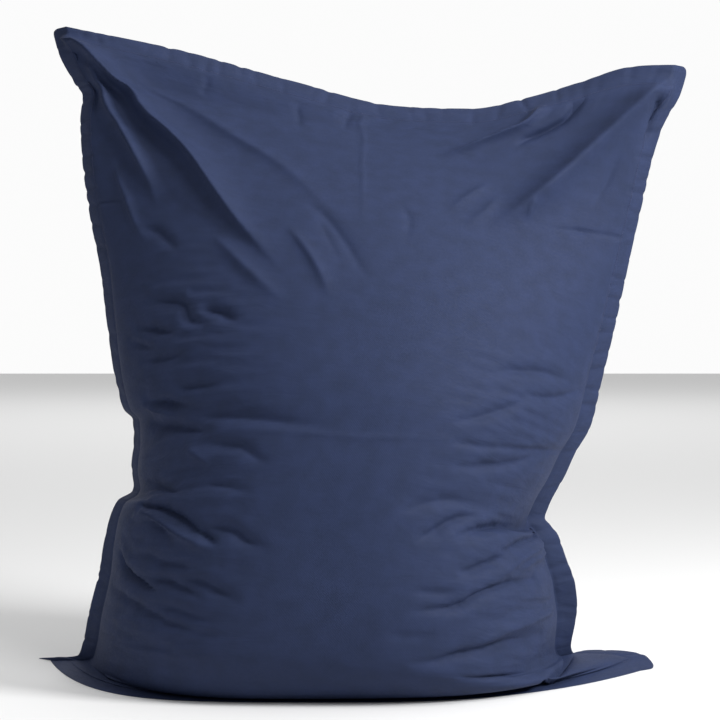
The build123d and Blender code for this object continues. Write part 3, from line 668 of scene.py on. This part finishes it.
# ---------------------------------------------------------------------------------------------------------
# Materials
# ---------------------------------------------------------------------------------------------------------
def linear(hex_colour):
    """An sRGB hex colour as the linear RGBA that the shader takes."""
    parts = [int(hex_colour[i:i + 2], 16) / 255 for i in (1, 3, 5)]
    return [c / 12.92 if c <= 0.04045 else ((c + 0.055) / 1.055) ** 2.4 for c in parts] + [1.0]


def add(tree, kind, inputs=None, **settings):
    """Adds a node with its settings; each input is a value or the output socket that feeds it."""
    new = tree.nodes.new(kind)
    for name, value in settings.items():
        setattr(new, name, value)
    for socket, value in (inputs or {}).items():
        if isinstance(value, bpy.types.NodeSocket):
            tree.links.new(value, new.inputs[socket])
        else:
            new.inputs[socket].default_value = value
    return new


def new_material(name, **constants):
    """A Principled material with the values that are the same all over it, and its node tree and shader."""
    material = bpy.data.materials.new(name)
    material.use_nodes = True
    shader = material.node_tree.nodes["Principled BSDF"]
    for socket, value in constants.items():
        shader.inputs[socket.replace("_", " ")].default_value = value
    return material, material.node_tree, shader


NAVY_DARK = "#212a42"
NAVY_LIGHT = "#283250"


def woven_cloth(name, dark, light, spacing, flat_cut=False, **constants):
    """A plain weave with its threads spacing metres apart, in two close colours.

    On the flat cut it follows the cloth and has creases where the cloth is crumpled; otherwise it lies in
    the X-Z plane, as on the zip's pieces.
    """
    material, tree, shader = new_material(name, **constants)
    if flat_cut:
        lie = add(tree, "ShaderNodeUVMap", uv_map="flat_cut").outputs[0]
    else:
        lie = add(
            tree, "ShaderNodeMapping",
            {0: add(tree, "ShaderNodeTexCoord").outputs["Object"], "Rotation": (math.radians(-90), 0, 0)},
        ).outputs[0]
    thread = math.pi / spacing
    turns = add(tree, "ShaderNodeVectorMath", {0: lie, 1: (thread, thread, 0)}, operation="MULTIPLY")
    waves = add(tree, "ShaderNodeVectorMath", {0: turns.outputs[0]}, operation="SINE")
    split = add(tree, "ShaderNodeSeparateXYZ", {0: waves.outputs[0]})
    weave = add(tree, "ShaderNodeMath", {0: split.outputs[0], 1: split.outputs[1]}, operation="MULTIPLY")
    slubs = add(tree, "ShaderNodeTexNoise", {"Vector": lie, "Scale": 0.4 / spacing, "Detail": 3.0})
    clouds = add(tree, "ShaderNodeTexNoise", {"Vector": lie, "Scale": 0.06 / spacing, "Detail": 6.0})
    shade = add(
        tree, "ShaderNodeMath", {0: weave.outputs[0], 1: 0.15, 2: clouds.outputs[0]},
        operation="MULTIPLY_ADD",
    )
    colours = add(tree, "ShaderNodeValToRGB", {"Fac": shade.outputs[0]})
    colours.color_ramp.elements[0].position = 0.15
    colours.color_ramp.elements[0].color = linear(dark)
    colours.color_ramp.elements[1].position = 0.85
    colours.color_ramp.elements[1].color = linear(light)
    roughness = add(
        tree, "ShaderNodeMapRange",
        {"Value": slubs.outputs[0], "From Min": 0.3, "From Max": 0.7, "To Min": 0.66, "To Max": 0.80},
    )
    fine = add(
        tree, "ShaderNodeMath", {0: weave.outputs[0], 1: 0.35, 2: slubs.outputs[0]},
        operation="MULTIPLY_ADD",
    )
    bump = add(
        tree, "ShaderNodeBump", {"Strength": 0.35, "Distance": spacing / 6, "Height": fine.outputs[0]}
    ).outputs[0]
    if flat_cut:
        crumpled = add(tree, "ShaderNodeAttribute", attribute_name="crumple")
        stretched = add(
            tree, "ShaderNodeMapping", {"Vector": lie, "Scale": (11.0, 34.0, 1.0), "Rotation": (0, 0, 0.12)}
        )
        creases = add(
            tree, "ShaderNodeTexNoise",
            {"Vector": stretched.outputs[0], "Scale": 1.0, "Detail": 4.0, "Roughness": 0.55,
             "Distortion": 0.8},
        )
        crease_height = add(
            tree, "ShaderNodeMath", {0: creases.outputs[0], 1: crumpled.outputs["Fac"]},
            operation="MULTIPLY",
        )
        bump = add(
            tree, "ShaderNodeBump",
            {"Strength": 0.5, "Distance": 0.006, "Height": crease_height.outputs[0], "Normal": bump},
        ).outputs[0]
    tree.links.new(colours.outputs[0], shader.inputs["Base Color"])
    tree.links.new(roughness.outputs[0], shader.inputs["Roughness"])
    tree.links.new(bump, shader.inputs["Normal"])
    return material


def textured(name, dark, light, texture, scale, bump_depth, roughness, stretch=(1, 1, 1), **constants):
    """A finish whose one pattern, scale repeats to the metre, drives its colour, gloss and relief."""
    material, tree, shader = new_material(name, **constants)
    spot = add(tree, "ShaderNodeTexCoord").outputs["Object"]
    laid = add(tree, "ShaderNodeMapping", {0: spot, "Scale": stretch})
    pattern = add(tree, texture, {"Vector": laid.outputs[0], "Scale": scale}).outputs[0]
    colours = add(tree, "ShaderNodeValToRGB", {"Fac": pattern})
    colours.color_ramp.elements[0].position = 0.2
    colours.color_ramp.elements[0].color = linear(dark)
    colours.color_ramp.elements[1].position = 0.7
    colours.color_ramp.elements[1].color = linear(light)
    gloss = add(
        tree, "ShaderNodeMapRange", {"Value": pattern, "To Min": roughness[0], "To Max": roughness[1]},
    )
    relief = add(tree, "ShaderNodeBump", {"Strength": 0.5, "Distance": bump_depth, "Height": pattern})
    tree.links.new(colours.outputs[0], shader.inputs["Base Color"])
    tree.links.new(gloss.outputs[0], shader.inputs["Roughness"])
    tree.links.new(relief.outputs[0], shader.inputs["Normal"])
    return material


# Plain-woven polyester with a coated back, in navy: crisp, faintly shiny, and it creases sharply. Its
# threads are 0.35 mm apart, too fine to show across the chair, so they are drawn 2.4 mm apart.
coated_polyester = woven_cloth(
    "coated_polyester_plain_weave", NAVY_DARK, NAVY_LIGHT, 0.0024, flat_cut=True,
    Sheen_Weight=0.03, Sheen_Roughness=0.5, Sheen_Tint=(0.15, 0.2, 0.5, 1), Specular_IOR_Level=0.15,
)
# The same cloth on the zip's facing and garage, seen from close to, with its threads drawn 1 mm apart.
facing_cloth = woven_cloth(
    "coated_polyester_facing", NAVY_DARK, NAVY_LIGHT, 0.0010, Sheen_Weight=0.08, Specular_IOR_Level=0.2,
)
# Narrow-woven polyester zip tape: a ribbed band, a shade darker than the cloth. Ribs are 0.8 mm apart.
zip_tape = woven_cloth("narrow_woven_zip_tape", "#161c33", "#1f2743", 0.0008, Specular_IOR_Level=0.25)
# Satin-woven polyester ribbon: off-white, with a soft gloss. Its threads are 0.2 mm apart, drawn at 0.5 mm.
satin_ribbon = woven_cloth("satin_woven_ribbon", "#d2cfc6", "#e4e1d9", 0.0005, Specular_IOR_Level=0.6)
# Extruded nylon monofilament, coiled and set by heat: smooth, with a low waxy gloss.
nylon_coil = textured(
    "extruded_nylon_filament", "#141a30", "#1d2544", "ShaderNodeTexNoise", 900.0, 0.0001, (0.30, 0.48),
)
# Die-cast zinc with a dark baked paint: fine orange peel of about half a millimetre.
painted_zinc = textured(
    "painted_die_cast_zinc", "#171b28", "#20263a", "ShaderNodeTexNoise", 1800.0, 0.00008, (0.28, 0.42),
    Coat_Weight=0.3,
)
# Rolled spring steel: bright, with rolling lines along its length.
spring_steel = textured(
    "rolled_spring_steel", "#8f9093", "#b4b4b6", "ShaderNodeTexNoise", 1500.0, 0.00002, (0.22, 0.38),
    stretch=(0.1, 1, 1), Metallic=1.0,
)
# Spunbonded polypropylene: white and papery, with bonded dots 1 mm apart, drawn at 3 mm.
spunbond = textured(
    "spunbonded_polypropylene", "#d8d8d5", "#efefec", "ShaderNodeTexVoronoi", 330.0, 0.0004, (0.75, 0.9),
)
# Hook-and-loop tape: a dense nylon pile, about 2 mm between tufts.
pile_tape = textured(
    "hook_and_loop_nylon_pile", "#d3d2cc", "#f1f0ea", "ShaderNodeTexVoronoi", 500.0, 0.0008, (0.7, 0.95),
)
# Expanded polystyrene beads, 4 mm across, seen as a heap: white on each bead, with painted shade in grey
# where the beads meet.
foam_beads = textured(
    "expanded_polystyrene_beads", "#ffffff", "#dedede", "ShaderNodeTexVoronoi", 250.0, 0.003, (0.6, 0.8),
)
# Spun polyester sewing thread: a tight twist of 0.5 mm, in the cloth's own navy.
sewing_thread = textured(
    "spun_polyester_thread", "#1d2543", "#2d3760", "ShaderNodeTexNoise", 2500.0, 0.0001, (0.55, 0.75),
    Sheen_Weight=0.1,
)
FINISHES = {
    "zip_facing": facing_cloth, "zip_garage": facing_cloth, "zip_tape_upper": zip_tape,
    "zip_tape_lower": zip_tape, "care_label": satin_ribbon, "zip_stop_left": painted_zinc,
    "zip_stop_right": painted_zinc, "zip_slider": painted_zinc, "zip_slider_cap": painted_zinc,
    "zip_lock_spring": spring_steel,
}
for node, finish in FINISHES.items():
    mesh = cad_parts[node].data
    mesh.materials.clear()
    mesh.materials.append(finish)


# ---------------------------------------------------------------------------------------------------------
# What repeats: stitches and coil turns
# ---------------------------------------------------------------------------------------------------------
def along_path_tree(material):
    """Geometry Nodes that set one small shape at every step along a path.

    The shape is a filament bent into an oval ring, or a straight capsule where Ring is off.
    """
    tree = bpy.data.node_groups.new("repeat_along_path", "GeometryNodeTree")
    face = tree.interface
    face.new_socket("Path", in_out="INPUT", socket_type="NodeSocketGeometry")
    for label, kind in (
        ("Step", "NodeSocketFloat"), ("Half size", "NodeSocketVector"), ("Filament", "NodeSocketFloat"),
        ("Ring", "NodeSocketBool"), ("Material", "NodeSocketMaterial"),
    ):
        face.new_socket(label, in_out="INPUT", socket_type=kind)
    face.new_socket("Result", in_out="OUTPUT", socket_type="NodeSocketGeometry")
    given = add(tree, "NodeGroupInput").outputs
    curve = add(tree, "GeometryNodeMeshToCurve", {0: given["Path"]})
    steps = add(
        tree, "GeometryNodeResampleCurve",
        {"Curve": curve.outputs[0], "Length": given["Step"]}, mode="LENGTH",
    )
    way = add(tree, "GeometryNodeInputTangent")
    turned = add(tree, "FunctionNodeAlignRotationToVector", {"Vector": way.outputs[0]}, axis="X")
    capsule = add(tree, "GeometryNodeMeshUVSphere", {"Segments": 6, "Rings": 4, "Radius": 1.0})
    sized = add(
        tree, "GeometryNodeTransform", {"Geometry": capsule.outputs[0], "Scale": given["Half size"]},
    )
    circle = add(tree, "GeometryNodeCurvePrimitiveCircle", {"Resolution": 10, "Radius": 1.0})
    upright = add(
        tree, "GeometryNodeTransform", {"Geometry": circle.outputs[0], "Rotation": (0, math.pi / 2, 0)}
    )
    oval = add(tree, "GeometryNodeTransform", {"Geometry": upright.outputs[0], "Scale": given["Half size"]})
    profile = add(tree, "GeometryNodeCurvePrimitiveCircle", {"Resolution": 5, "Radius": given["Filament"]})
    ring = add(tree, "GeometryNodeCurveToMesh", {0: oval.outputs[0], 1: profile.outputs[0]})
    shape = add(
        tree, "GeometryNodeSwitch",
        {"Switch": given["Ring"], "False": sized.outputs[0], "True": ring.outputs[0]},
        input_type="GEOMETRY",
    )
    placed = add(
        tree, "GeometryNodeInstanceOnPoints",
        {"Points": steps.outputs[0], "Instance": shape.outputs[0], "Rotation": turned.outputs[0]},
    )
    real = add(tree, "GeometryNodeRealizeInstances", {0: placed.outputs[0]})
    finished = add(
        tree, "GeometryNodeSetMaterial", {"Geometry": real.outputs[0], "Material": given["Material"]},
    )
    add(tree, "NodeGroupOutput", {0: finished.outputs[0]})
    return tree


def repeated(name, paths, material, slot, **inputs):
    """A plain mesh of the small shape repeated along the paths, riding on the root body."""
    points, edges = [], []
    for path, closed in paths:
        first = len(points)
        points += [tuple(map(float, point)) for point in path]
        edges += [(first + i, first + i + 1) for i in range(len(path) - 1)]
        if closed:
            edges.append((len(points) - 1, first))
    line = bpy.data.meshes.new(name + "_path")
    line.from_pydata(points, edges, [])
    carrier = bpy.data.objects.new(name + "_path", line)
    bpy.context.collection.objects.link(carrier)
    modifier = carrier.modifiers.new("repeat", "NODES")
    modifier.node_group = REPEAT
    sockets = {item.name: item.identifier for item in REPEAT.interface.items_tree if item.in_out == "INPUT"}
    modifier[sockets["Material"]] = material
    for label, value in inputs.items():
        modifier[sockets[label.replace("_", " ")]] = value
    ready = carrier.evaluated_get(bpy.context.evaluated_depsgraph_get())
    mesh = bpy.data.meshes.new_from_object(ready)
    carrier.modifiers.remove(modifier)
    bpy.data.objects.remove(carrier)
    mesh.shade_smooth()
    piece = bpy.data.objects.new(name, mesh)
    bpy.context.collection.objects.link(piece)
    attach(piece, "root")
    return piece


def seam_loop(grid, front):
    """The stitched line round a panel, just proud of its cloth."""
    proud = grid + outward(grid, front) * 0.0003
    low, right, top = BAND, COLUMNS - 1 - BAND, ROWS - 1 - BAND
    return np.concatenate([
        proud[low, low:right], proud[low:top, right], proud[top, right:low:-1], proud[top:low:-1, low],
    ])


def rectangle(low, high, inset, y):
    """The corners of an upright rectangle, inset from two corners."""
    return [
        (low.x + inset, y, low.z + inset), (high.x - inset, y, low.z + inset),
        (high.x - inset, y, high.z - inset), (low.x + inset, y, high.z - inset),
    ]


REPEAT = along_path_tree(sewing_thread)
# Lockstitch: a 3 mm stitch every 3.6 mm. The thread is drawn 0.9 mm thick so that it shows.
STITCH = {"Step": 0.0036, "Half_size": (0.0015, 0.00045, 0.00045), "Filament": 0.0002, "Ring": False}
front_seam = [(seam_loop(front_grid, True), True)]
back_seam = [(seam_loop(back_grid, False), True)]
repeated("seam_stitches_front", front_seam, sewing_thread, "cover_cloth", **STITCH)
repeated("seam_stitches_back", back_seam, sewing_thread, "cover_cloth", **STITCH)
facing_low, facing_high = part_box("zip_facing")
label_low, label_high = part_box("care_label")
tape_low, tape_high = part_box("zip_tape_lower")
mouth_z = (facing_low.z + facing_high.z) / 2
mouth_low = Vector((tape_low.x, 0, mouth_z - 0.0145))
mouth_high = Vector((tape_high.x, 0, mouth_z + 0.0145))
repeated(
    "facing_stitches",
    [(rectangle(facing_low, facing_high, 0.0035, facing_high.y + 0.0002), True),
     (rectangle(label_low, label_high, 0.002, label_high.y + 0.0002), True),
     (rectangle(mouth_low, mouth_high, 0.0, tape_high.y + 0.0002), True)],
    sewing_thread, "cover_cloth", **STITCH,
)
# The zip's coils: a 0.7 mm filament, with a turn every 1.6 mm.
for side_name in ("upper", "lower"):
    low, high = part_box("zip_coil_" + side_name)
    middle, half = (low + high) / 2, (high - low) / 2
    filament = 0.00035
    ends = [(low.x + 0.0006, middle.y, middle.z), (high.x - 0.0006, middle.y, middle.z)]
    coil = repeated(
        "zip_coil_turns_" + side_name, [(ends, False)], nylon_coil, "zip_coil", Step=0.0016,
        Half_size=(1.0, half.y - filament, half.z - filament), Filament=filament, Ring=True,
    )
    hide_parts("zip_coil_" + side_name)

for sheet, node, finish, slot in (
    (cover_front, "cover_front_panel", coated_polyester, "cover_cloth"),
    (cover_back, "cover_back_panel", coated_polyester, "cover_cloth"),
    (liner_front, "liner_front_panel", spunbond, "liner_cloth"),
    (liner_back, "liner_back_panel", spunbond, "liner_cloth"),
):
    sheet.data.materials.append(finish)
    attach(sheet, "root")
    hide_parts(node)
for piece, node, finish, slot in (
    (loop_strip, "liner_loop_strip", pile_tape, "closure_strip"),
    (hook_strip, "liner_hook_strip", pile_tape, "closure_strip"),
    (beads, "bead_fill", foam_beads, "bead_foam"),
):
    piece.data.materials.append(finish)
    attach(piece, "root")
    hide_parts(node)

# ---------------------------------------------------------------------------------------------------------
# Floor, camera and light
# ---------------------------------------------------------------------------------------------------------
floor_mesh = bpy.data.meshes.new("floor")
floor_mesh.from_pydata([(-30, -30, 0), (30, -30, 0), (30, 30, 0), (-30, 30, 0)], [], [(0, 1, 2, 3)])
floor = bpy.data.objects.new("floor", floor_mesh)
bpy.context.collection.objects.link(floor)
floor_paint, _, floor_shader = new_material("matt_floor_paint", Roughness=0.9)
floor_shader.inputs["Base Color"].default_value = linear("#e0e0e0")
floor_mesh.materials.append(floor_paint)
floor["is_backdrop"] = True

CAMERA_DISTANCE = 3.5
CAMERA_HEIGHT = 0.70
VIEW_DEGREES = 23.9
camera_data = bpy.data.cameras.new("camera")
camera_data.angle = math.radians(VIEW_DEGREES)
camera_data.shift_y = -0.0305
camera = bpy.data.objects.new("camera", camera_data)
camera.location = (0.0155, -CAMERA_DISTANCE, CAMERA_HEIGHT)
camera.rotation_euler = (math.radians(90), 0, 0)
bpy.context.collection.objects.link(camera)
bpy.context.scene.camera = camera


def area_light(name, position, aim, size, power):
    """A square soft light at a position, turned to its aim."""
    data = bpy.data.lights.new(name, "AREA")
    data.shape, data.size, data.energy = "SQUARE", size, power
    lamp = bpy.data.objects.new(name, data)
    lamp.location = position
    lamp.rotation_euler = (Vector(aim) - Vector(position)).to_track_quat("-Z", "Y").to_euler()
    bpy.context.collection.objects.link(lamp)


area_light("key_light", (3.2, -1.8, 2.6), (0, 0, 0.7), 1.0, 205)
area_light("top_light", (0.9, -1.7, 3.6), (-0.1, 0, 0.5), 0.8, 42)
area_light("floor_wash", (0, 11, 7), (0, 11, 0), 10, 320)
world = bpy.data.worlds.new("studio")
world.use_nodes = True
sky = world.node_tree
ways = add(sky, "ShaderNodeTexCoord")
split_ways = add(sky, "ShaderNodeSeparateXYZ", {0: ways.outputs["Generated"]})
# White behind the chair and overhead, as in a room with a pale wall and ceiling, and dimmer in front.
wall = add(
    sky, "ShaderNodeMapRange",
    {"Value": split_ways.outputs[1], "From Min": 0.6, "From Max": 0.95, "To Min": 0.20, "To Max": 0.97},
)
ceiling = add(
    sky, "ShaderNodeMapRange",
    {"Value": split_ways.outputs[2], "From Min": 0.25, "From Max": 0.9, "To Min": 0.20, "To Max": 0.9},
)
brightness = add(sky, "ShaderNodeMath", {0: wall.outputs[0], 1: ceiling.outputs[0]}, operation="MAXIMUM")
sky.links.new(brightness.outputs[0], sky.nodes["Background"].inputs["Strength"])
sky.nodes["Background"].inputs["Color"].default_value = (1, 1, 1, 1)
bpy.context.scene.world = world
bpy.context.scene.view_settings.view_transform = "Standard"
